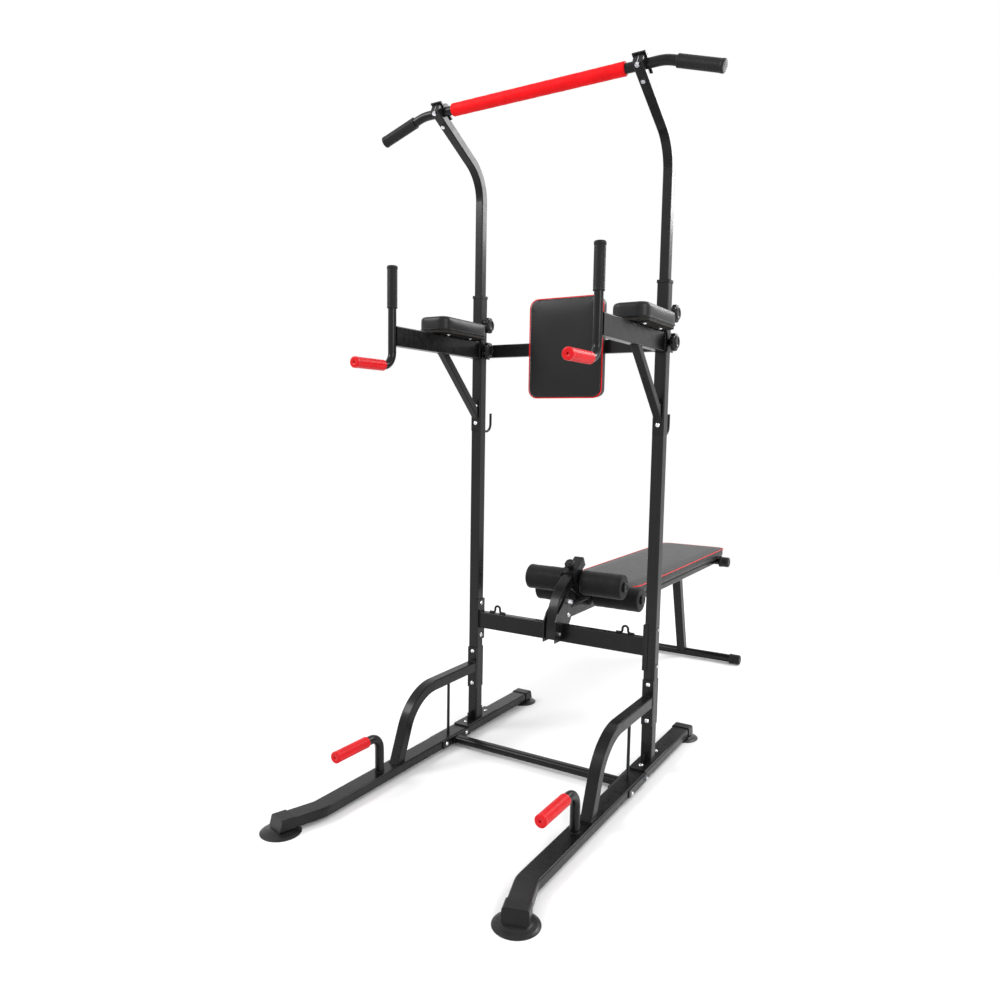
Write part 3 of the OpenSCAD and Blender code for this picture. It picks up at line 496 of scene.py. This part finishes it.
def inflate(obj, voxel, seam_z, cap, height, pressure=4.0):
    """Remeshes a pad and lets cloth pressure swell it between its board and its sewn edge."""
    activate(obj)
    obj.data.remesh_voxel_size = voxel
    bpy.ops.object.voxel_remesh()
    rest = [v.co.copy() for v in obj.data.vertices]
    pin = obj.vertex_groups.new(name="pin")
    for v in obj.data.vertices:
        low = max(0.0, 1 - v.co.z / (6 * MM))
        near = max(0.0, 1 - abs(v.co.z - seam_z) / (3 * MM)) * obj_edge(obj, v.co)
        weight = min(1.0, max(low * 2, near))
        if weight > 0.02:
            pin.add([v.index], weight, "REPLACE")
    cloth = obj.modifiers.new("cloth", "CLOTH")
    cloth.settings.use_pressure = True
    cloth.settings.uniform_pressure_force = pressure
    cloth.settings.effector_weights.gravity = 0
    cloth.settings.quality = 4
    cloth.settings.tension_stiffness = 25
    cloth.settings.compression_stiffness = 25
    cloth.settings.bending_stiffness = 1.5
    cloth.settings.vertex_group_mass = "pin"
    cloth.point_cache.frame_start = 1
    cloth.point_cache.frame_end = 20
    scene = bpy.context.scene
    for f in range(1, 21):
        scene.frame_set(f)
    dg = bpy.context.evaluated_depsgraph_get()
    moved = [v.co.copy() for v in obj.evaluated_get(dg).data.vertices]
    obj.modifiers.remove(cloth)
    scene.frame_set(1)
    for v, a, b in zip(obj.data.vertices, rest, moved):
        d = b - a
        if d.length > cap:
            d = d * (cap / d.length)
        v.co = a + d
        v.co.z = max(v.co.z, 0)
    obj.vertex_groups.clear()


EDGES = {}


def obj_edge(obj, co):
    """1 near the outline of a pad and 0 over its middle, so that only the sewn edge is held."""
    x0, x1, y0, y1, width = EDGES[obj.name]
    d = min(co.x - x0, x1 - co.x, co.y - y0, y1 - co.y)
    return 1.0 if d < width else 0.0


def pad(name, node, body, outline, height, edge, place, voxel, cap, piping=None, stitches=True):
    """An upholstered pad in its own plane, moved to its place by a matrix."""
    mesh = cushion_mesh(name, outline, height, edge)
    obj = bpy.data.objects.new(name, mesh)
    bpy.context.collection.objects.link(obj)
    xs = [p.x * MM for p in outline]
    ys = [p.y * MM for p in outline]
    EDGES[obj.name] = (min(xs), max(xs), min(ys), max(ys), 0.012)
    inflate(obj, voxel, (height - 3) * MM, cap, height)
    sub = obj.modifiers.new("smooth", "SUBSURF")
    sub.levels = 1
    sub.render_levels = 1
    activate(obj)
    bpy.ops.object.modifier_apply(modifier="smooth")
    obj.data.transform(place)
    obj.data.polygons.foreach_set("use_smooth", [True] * len(obj.data.polygons))
    obj.data.materials.clear()
    obj.data.materials.append(VINYL)
    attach(obj, body)
    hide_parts(node)
    if piping:
        z, out, r = piping
        path = [place @ (p * MM + Vector((0, 0, z * MM))) for p in inset(outline, -out)]
        vs, fs = tube(path, r * MM, closed=True, count=12)
        make(name + "_piping", vs, fs, PIPING, body)
        if stitches:
            for side, drop in (("top", 3.2), ("side", -1)):
                sewn(name + "_stitches_" + side, outline, place, body, z, out, r, side)
    return obj


def sewn(name, outline, place, body, z, out, r, side):
    """A row of short stitches beside the piping."""
    step = 5.0
    if side == "top":
        ring = [p + Vector((0, 0, z + 1.6)) for p in inset(outline, r + 2.6)]
    else:
        ring = [p + Vector((0, 0, z - r - 2.6)) for p in inset(outline, -0.3)]
    ring = resample(ring, step)
    parts = []
    for a, b in zip(ring, ring[1:] + ring[:1]):
        p, q = a.lerp(b, 0.16), a.lerp(b, 0.84)
        mid = p.lerp(q, 0.5) + Vector((0, 0, 0.25))
        sunk = Vector((0, 0, 0.5))
        stitch = (p - sunk, p.lerp(mid, 0.5), mid, q.lerp(mid, 0.5), q - sunk)
        pts = [place @ (x * MM) for x in stitch]
        parts.append(tube(pts, 0.42 * MM, count=6))
    vs, fs = joined(parts)
    make(name, vs, fs, THREAD, body)


def flat_place(x, y, z):
    """Pad lying flat with its underside at z, in mm."""
    return Matrix.Translation((x * MM, y * MM, z * MM))


def upholster():
    lo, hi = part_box("bench_pad")
    w, y0, y1 = hi.x / MM, lo.y / MM, hi.y / MM
    outline = rounded_outline(-w + 1, w - 1, y0 + 1, y1 - 1, (70, 70, 40, 40), 7)
    pad("bench_cushion", "bench_pad", "bench", outline, (hi.z - lo.z) / MM - 2, 7,
        flat_place(0, 0, lo.z / MM), 0.0065, 0.005, piping=(31.5, 0.6, 2.2))
    lo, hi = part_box("back_pad")
    w, mid, half = hi.x / MM, (lo.z + hi.z) / 2, (hi.z - lo.z) / 2 / MM
    outline = rounded_outline(-w + 1, w - 1, -half + 1, half - 1, (30, 30, 30, 30), 5)
    stand = Matrix.Translation((0, hi.y, mid)) @ Matrix.Rotation(math.radians(90), 4, "X")
    pad("back_cushion", "back_pad", "frame", outline, (hi.y - lo.y) / MM - 2, 7,
        stand, 0.005, 0.006, piping=(27.5, 0.6, 1.9))
    for side in ("left", "right"):
        lo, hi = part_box("elbow_pad_" + side)
        cx, cy = (lo.x + hi.x) / 2 / MM, (lo.y + hi.y) / 2 / MM
        hw, hd = (hi.x - lo.x) / 2 / MM - 1, (hi.y - lo.y) / 2 / MM - 1
        outline = rounded_outline(-hw, hw, -hd, hd, (31, 31, 31, 31), 4.5)
        pad("elbow_cushion_" + side, "elbow_pad_" + side, "frame", outline,
            (hi.z - lo.z) / MM - 2, 13, flat_place(cx, cy, lo.z / MM), 0.0042, 0.005)
        seam = [p * MM + Vector((cx * MM, cy * MM, lo.z + 0.0035)) for p in inset(outline, -0.4)]
        vs, fs = tube(seam, 1.3 * MM, closed=True, count=8)
        make("elbow_seam_" + side, vs, fs, VINYL, "frame")


# ---------------------------------------------------------------- foam and rollers


def foam_profile(length, r, bore, ease, waves):
    """Foam tube profile from one end face to the other, with eased ends and a soft surface."""
    pts = [(bore, 1.2), (r * 0.55, 0.4), (r - ease, 0)]
    for k in range(1, 7):
        a = math.radians(90 * k / 6)
        pts.append((r - ease + ease * math.sin(a), ease - ease * math.cos(a)))
    steps = max(8, round(length / 9))
    for k in range(1, steps):
        h = ease + (length - 2 * ease) * k / steps
        swell = waves * math.sin(k * 1.7) * math.sin(k * 0.53)
        pts.append((r - waves + swell, h))
    for k in range(0, 7):
        a = math.radians(90 * k / 6)
        pts.append((r - ease + ease * math.cos(a), length - ease + ease * math.sin(a)))
    pts += [(r * 0.55, length - 0.4), (bore, length - 1.2)]
    return pts


def soft_shape(seed, depth):
    """Slight unevenness of moulded foam."""

    def shape(a, r, h):
        return r + depth * noise.noise(Vector((math.cos(a) * 1.6 + seed, math.sin(a) * 1.6, h * 0.02)))

    return shape


def rollers():
    for name in ("roller_top_left", "roller_top_right", "roller_low_left", "roller_low_right"):
        lo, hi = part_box(name)
        r = (hi.y - lo.y) / 2 / MM - 0.6
        centre = (lo + hi) / 2
        vs, fs = turned(foam_profile((hi.x - lo.x) / MM, r, 8.4, 7, 0.5),
                        (lo.x, centre.y, centre.z), (1, 0, 0), 72, soft_shape(len(name), 0.5))
        obj = make(name + "_foam", vs, fs, BLACK_FOAM, name + "_body")
        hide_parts(name)
    lo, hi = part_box("bar_foam")
    centre = (lo + hi) / 2
    r = (hi.z - lo.z) / 2 / MM - 0.4
    vs, fs = turned(foam_profile((hi.x - lo.x) / MM, r, 14.1, 3.5, 0.25),
                    (lo.x, centre.y, centre.z), (1, 0, 0), 56, soft_shape(3, 0.3))
    obj = make("bar_foam_sleeve", vs, fs, RED_FOAM, "bar_frame")
    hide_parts("bar_foam")


def axle_caps():
    """Pressed caps with a shallow dish on the axle ends."""
    lo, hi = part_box("roller_axle_nuts")
    upper, lower = (0.131, 0.583), (0.249, 0.519)
    outs = {key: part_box("roller_%s_right" % key)[1].x / MM + 0.3 for key in ("top", "low")}
    parts = []
    for s in (-1, 1):
        for key, (y, z) in (("top", upper), ("low", lower)):
            profile = [(8.1, 0), (16.4, 0), (17.0, 0.8), (17.0, 5.4), (16.2, 7.4), (14.2, 8.7),
                       (12.2, 9.0), (11.2, 8.2), (10.6, 6.6), (6.5, 6.2), (0, 6.0)]
            parts.append(turned(profile, (s * outs[key] * MM, y, z), (s, 0, 0), 40))
    vs, fs = joined(parts)
    obj = make("axle_end_caps", vs, fs, PLASTIC, "carriage")
    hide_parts("roller_axle_nuts")


# ---------------------------------------------------------------- grips


def ribbed(length, r, bore, rib, depth, rim, dome, hole):
    """Moulded grip profile: plain collar, ring ribs, end rim, domed end with a small hole."""
    pts = [(bore, 0), (r - 0.5, 0), (r, 0.5), (r, 5.0), (r - depth, 6.0)]
    h = 8.0
    while h < length - 14:
        pts += [(r - depth, h), (r - depth * 0.35, h + rib * 0.14), (r, h + rib * 0.3),
                (r - depth * 0.35, h + rib * 0.46), (r - depth, h + rib * 0.6)]
        h += rib
    pts += [(r - depth, length - 12), (r + rim, length - 11), (r + rim, length - 5)]
    for k in range(0, 6):
        a = math.radians(90 * k / 5)
        pts.append((r + rim - dome + dome * math.cos(a), length - 4 + dome * 0.9 * math.sin(a)))
    top = length - 4 + dome * 0.9
    if hole:
        pts += [(hole + 0.6, top), (hole, top - 0.6), (hole, top - 8), (0, top - 8)]
    else:
        pts += [(0, top + 0.2)]
    return pts


def grips():
    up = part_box("dip_grips")
    x = (up[1].x - up[0].x) / 2 - 0.018
    y = (up[1].y + up[0].y) / 2
    low = up[0].z
    tall = (up[1].z - up[0].z) / MM
    parts = [turned(ribbed(tall - 0.2, 16, 12.7, 3.4, 0.6, 0.5, 4.0, 3.0), (s * x, y, low), (0, 0, 1), 48)
             for s in (-1, 1)]
    vs, fs = joined(parts)
    obj = make("upright_handle_grips", vs, fs, BLACK_RUBBER, "frame")
    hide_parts("dip_grips")
    for node, name, r, bore in (("hand_grips", "forward_handle_grips", 16.5, 12.7),
                                ("push_up_grips", "push_up_handle_grips", 17.5, 14.0)):
        lo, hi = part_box(node)
        x = hi.x - (r + 2) * MM
        z = (lo.z + hi.z) / 2
        length = (hi.y - lo.y) / MM
        profile = ribbed(length - 0.2, r, bore, 4.4, 0.35, 0.3, 4.2, 3.2)
        parts = [turned(profile, (s * x, hi.y, z), (0, -1, 0), 48) for s in (-1, 1)]
        vs, fs = joined(parts)
        obj = make(name, vs, fs, RED_RUBBER, "frame")
        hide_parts(node)


BAR_Y, BAR_Z, BAR_BEND, BAR_TURN, BAR_STRAIGHT = -0.248, 2.141, 0.129, math.radians(18), 0.390


def bar_end(s):
    """Where the bent end of the bar starts to run straight, and its direction."""
    x = BAR_STRAIGHT + BAR_BEND * math.sin(BAR_TURN)
    z = BAR_Z - BAR_BEND * (1 - math.cos(BAR_TURN))
    return Vector((s * x, BAR_Y, z)), Vector((s * math.cos(BAR_TURN), 0, -math.sin(BAR_TURN)))


def bar_end_grips():
    parts = []
    for s in (-1, 1):
        start, axis = bar_end(s)
        parts.append(turned(ribbed(136.6, 18, 14, 4.7, 0.9, 0.3, 3.0, 0), start + axis * 0.017, axis, 48))
    vs, fs = joined(parts)
    obj = make("bar_end_grips", vs, fs, BLACK_RUBBER, "bar_frame")
    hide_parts("bar_grips")


# ---------------------------------------------------------------- feet and caps


def suction_feet():
    """Suction cups with a thin rim, a stepped dome and a neck under the rail."""
    lo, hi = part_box("suction_cups")
    top = hi.z / MM
    profile = [(0, 0.5), (46, 0.5), (56.8, 0.0), (58, 0.4), (58, 1.3), (56, 2.2), (52.5, 3.0), (51.5, 3.9),
               (47, 4.9), (41, 6.2), (36.5, 7.6), (34.4, top - 0.05), (0, top - 0.05)]
    x = hi.x - 0.058
    places = [(s * x, lo.y + 0.058) for s in (-1, 1)] + [(s * 0.3425, hi.y - 0.058) for s in (-1, 1)]
    vs, fs = joined([turned(profile, (px, py, 0), (0, 0, 1), 72) for px, py in places])
    obj = make("suction_feet", vs, fs, CUP_RUBBER, "frame")
    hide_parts("suction_cups")


def end_cap(r, length, bore, collar):
    """Moulded rubber cap: collar, gently tapered body, rounded closed end."""
    rim = r + collar
    pts = [(bore, 0), (rim - 0.8, 0), (rim, 0.8), (rim, 9.5), (rim - 1.0, 11.0), (r, 12.4)]
    pts += [(r, length * 0.5), (r, length - 6)]
    for k in range(1, 7):
        a = math.radians(90 * k / 6)
        pts.append((r - 6 + 6 * math.cos(a), length - 6 + 5.8 * math.sin(a)))
    pts += [(r * 0.45, length - 0.4), (r * 0.42, length - 1.0), (0, length - 1.0)]
    return pts


def rubber_caps():
    lo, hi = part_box("foot_caps")
    y, z = (lo.y + hi.y) / 2, (lo.z + hi.z) / 2
    profile = end_cap(22.6, 50, 19, 1.3)
    parts = [turned(profile, (s * (hi.x - 0.050), y, z), (s, 0, 0), 48) for s in (-1, 1)]
    vs, fs = joined(parts)
    obj = make("foot_bar_caps", vs, fs, BLACK_RUBBER, "leg")
    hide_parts("foot_caps")
    lo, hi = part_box("bench_end_caps")
    y, z = (lo.y + hi.y) / 2, (lo.z + hi.z) / 2
    inner = 0.162  # open end of the cap, 1 mm clear of the bench board
    profile = end_cap(24, (hi.x - inner) / MM, 15, 1.5)
    parts = [turned(profile, (s * inner, y, z), (s, 0, 0), 48) for s in (-1, 1)]
    vs, fs = joined(parts)
    obj = make("bench_tube_caps", vs, fs, BLACK_RUBBER, "bench")
    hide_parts("bench_end_caps")


# ---------------------------------------------------------------- knobs and pins


def knob_shape(lobes, depth, r0):
    """Finger scallops cut into the wide part of a knob."""

    def shape(a, r, h):
        if r < r0:
            return r
        wave = 0.5 - 0.5 * math.cos(lobes * a)
        return r - depth * (1 - wave) ** 2 * min(1, (r - r0) / 3)

    return shape


def height_knobs():
    for name in ("knob_low_left", "knob_low_right", "knob_high_left", "knob_high_right"):
        lo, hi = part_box(name)
        face = hi.x - 0.030
        centre = (face, (lo.y + hi.y) / 2, (lo.z + hi.z) / 2)
        profile = [(0, -3.7), (4.9, -3.7), (5.0, -3.4), (5.0, 0.3), (9.6, 0.3), (10, 0.8),
                   (10, 6), (11.5, 6.6), (16.5, 9.0), (19.4, 10.7), (22.6, 11.1), (26.4, 11.5),
                   (27.7, 12.6), (28, 15), (28, 21), (27.6, 23.4), (26.2, 24.8), (23.4, 25.3),
                   (20.8, 25.5), (20.0, 26.2), (19.4, 28.8), (18.2, 29.8), (15, 30), (13.6, 29.4),
                   (13.0, 28.4), (6, 28.0), (0, 28.0)]
        vs, fs = turned(profile, centre, (1, 0, 0), 96, knob_shape(8, 3.4, 20.4))
        obj = make(name + "_moulding", vs, fs, PLASTIC, name + "_body")
        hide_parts(name)


def pull_knob():
    """Clamping knob on the sleeve, standing square on the slanted part of the leg post."""
    slant = math.radians(30)
    bend_turn, bend_r = math.radians(60), 165
    along = Vector((0, math.cos(slant), math.sin(slant)))
    out = Vector((0, -math.sin(slant), math.cos(slant)))
    start = Vector((0, 122 - bend_r * math.cos(bend_turn), 440 + bend_r * math.sin(bend_turn))) * MM
    base = start + along * 0.071 + out * 0.023
    profile = [(0, -10), (4.9, -10), (5.0, -9.6), (5.0, 0.3), (8.6, 0.3), (9, 0.8), (9, 10),
               (8.4, 11), (8.6, 13), (14, 13.2), (18, 14), (19, 15.6), (19, 22), (18.4, 24.4),
               (16.6, 25.8), (15.2, 26.3), (14.6, 27.6), (13.4, 29.4), (11.6, 30), (9.6, 29.4),
               (0, 29.2)]
    vs, fs = turned(profile, base, out, 96, knob_shape(6, 2.2, 14.4))
    obj = make("carriage_pull_knob", vs, fs, PLASTIC, "carriage_knob_body")
    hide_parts("carriage_knob")


# ---------------------------------------------------------------- weld beads


def bead(points, closed=True, r=2.1):
    """A rippled weld bead along a path in mm."""
    path = resample([Vector(p) * MM for p in points], 1.4 * MM, closed)

    def ripple(d):
        fine = math.sin(d / (3.2 * MM) * 2 * math.pi)
        slow = math.sin(d / (11 * MM) * 2 * math.pi)
        return 0.9 + 0.16 * fine + 0.06 * slow

    return tube(path, r * MM, closed, 8, ripple)


def box_loop(centre, u, v, w, h, r=4):
    """Rounded rectangle in mm round a tube section, in the plane of u and v."""
    c, u, v = Vector(centre), Vector(u), Vector(v)
    return [c + u * p.x + v * p.y for p in rounded_outline(-w / 2, w / 2, -h / 2, h / 2, (r, r, r, r), 2)]


def ring(centre, axis, r):
    u, v = frame_of(axis)
    c = Vector(centre)
    return [c + (u * math.cos(a) + v * math.sin(a)) * r for a in (2 * math.pi * k / 40 for k in range(40))]


X, Y, Z = (1, 0, 0), (0, 1, 0), (0, 0, 1)


def weld_beads():
    hx = 342.5
    frame_beads, bench_beads, leg_beads, carriage_beads = [], [], [], []
    for s in (-1, 1):
        frame_beads += [
            bead(box_loop((s * 319.3, 0, 425.5), Y, Z, 30, 60)),
            bead(box_loop((s * hx, -23.3, 247.5), X, Z, 36, 36)),
            bead(box_loop((s * hx, -468.5, 42.2), X, Y, 36, 39)),
            bead(box_loop((s * 308.3, -167, 24), Y, Z, 34, 26, 10)),
            bead(box_loop((s * hx, -22.3, 1406), X, Z, 30, 60)),
            bead(box_loop((s * hx, -225, 1375.8), X, Y, 25, 35)),
            bead(box_loop((s * hx, 0, 47.2), X, Y, 38, 38)),
            bead(ring((s * hx, -554, 42.2), Z, 14.1)),
            bead(ring((s * hx, -175, 42.2), Z, 5.1), r=1.5),
            bead(ring((s * hx, -175, 229.4), Z, 5.1), r=1.5),
            bead(ring((s * hx, 19.2, 1118), Y, 4.6), r=1.4),
        ]
        for e in (-1, 1):
            frame_beads.append(bead([(s * hx + e * 9, -483.6, 1379), (s * hx + e * 9, -483.6, 1433)], False))
            tab = s * 249 + e * 20
            frame_beads.append(bead([(tab - 12, -3.6, 455.6), (tab + 12, -3.6, 455.6)], False, 1.4))
            line = [(s * 20.2, 1232, 484 + e * 5), (s * 20.2, 1304, 484 + e * 5)]
            bench_beads.append(bead(line, False, 1.2))
        for y in (335, 860, 1340):
            bench_beads.append(bead(box_loop((s * 20.2, y, 492.5), Y, Z, 30, 30, 3)))
            bench_beads.append(bead(box_loop((s * 105.8, y, 492.5), Y, Z, 30, 30, 3)))
        carriage_beads.append(bead(ring((s * 26.8, 131, 583), X, 13.1), r=1.2))
        carriage_beads.append(bead(ring((s * 26.8, 249, 519), X, 13.1), r=1.2))
        frame_beads.append(bead([(s * (hx - 28), -23.5, 1435.5 - 59 * t) for t in (0, 0.5, 1)], False, 1.5))
        foot = [(s * 12, 1374, 25), (s * 19.8, 1375, 30), (s * 19.8, 1382, 38),
                (s * 19.8, 1398, 43.5), (s * 12, 1404, 43)]
        leg_beads.append(bead(foot, False, 1.8))
    for beads, body in (
        (frame_beads, "frame"),
        (bench_beads, "bench"),
        (leg_beads, "leg"),
        (carriage_beads, "carriage"),
    ):
        vs, fs = joined(beads)
        make("weld_beads_" + body, vs, fs, STEEL, body)


# ---------------------------------------------------------------- studio


def studio():
    bpy.context.scene.view_settings.view_transform = "Standard"
    mesh = bpy.data.meshes.new("floor")
    size = 30
    corners = [(x * size, y * size, -0.0005) for x, y in ((-1, -1), (1, -1), (1, 1), (-1, 1))]
    mesh.from_pydata(corners, [], [(0, 1, 2, 3)])
    floor = bpy.data.objects.new("floor", mesh)
    bpy.context.collection.objects.link(floor)
    mesh.materials.append(floor_paper())
    world = bpy.data.worlds.new("studio")
    bpy.context.scene.world = world
    world.use_nodes = True
    world.node_tree.nodes["Background"].inputs["Color"].default_value = (1, 1, 1, 1)
    world.node_tree.nodes["Background"].inputs["Strength"].default_value = 1.0
    for name, place, target, size, power in (
        ("key", (-2.6, -2.6, 3.6), (0, 0.2, 0.9), 1.6, 90),
        ("fill", (3.4, -1.6, 2.6), (0, 0.2, 1.0), 1.8, 60),
        ("rim", (1.8, 3.2, 3.4), (0, 0.4, 0.9), 1.6, 80),
    ):
        light = bpy.data.lights.new(name, "AREA")
        light.energy = power
        light.size = size
        obj = bpy.data.objects.new(name, light)
        bpy.context.collection.objects.link(obj)
        obj.location = place
        obj.rotation_mode = "QUATERNION"
        obj.rotation_quaternion = (Vector(target) - Vector(place)).to_track_quat("-Z", "Y")


make_camera()
finish_cad_nodes()
upholster()
rollers()
axle_caps()
grips()
bar_end_grips()
suction_feet()
rubber_caps()
height_knobs()
pull_knob()
weld_beads()
studio()
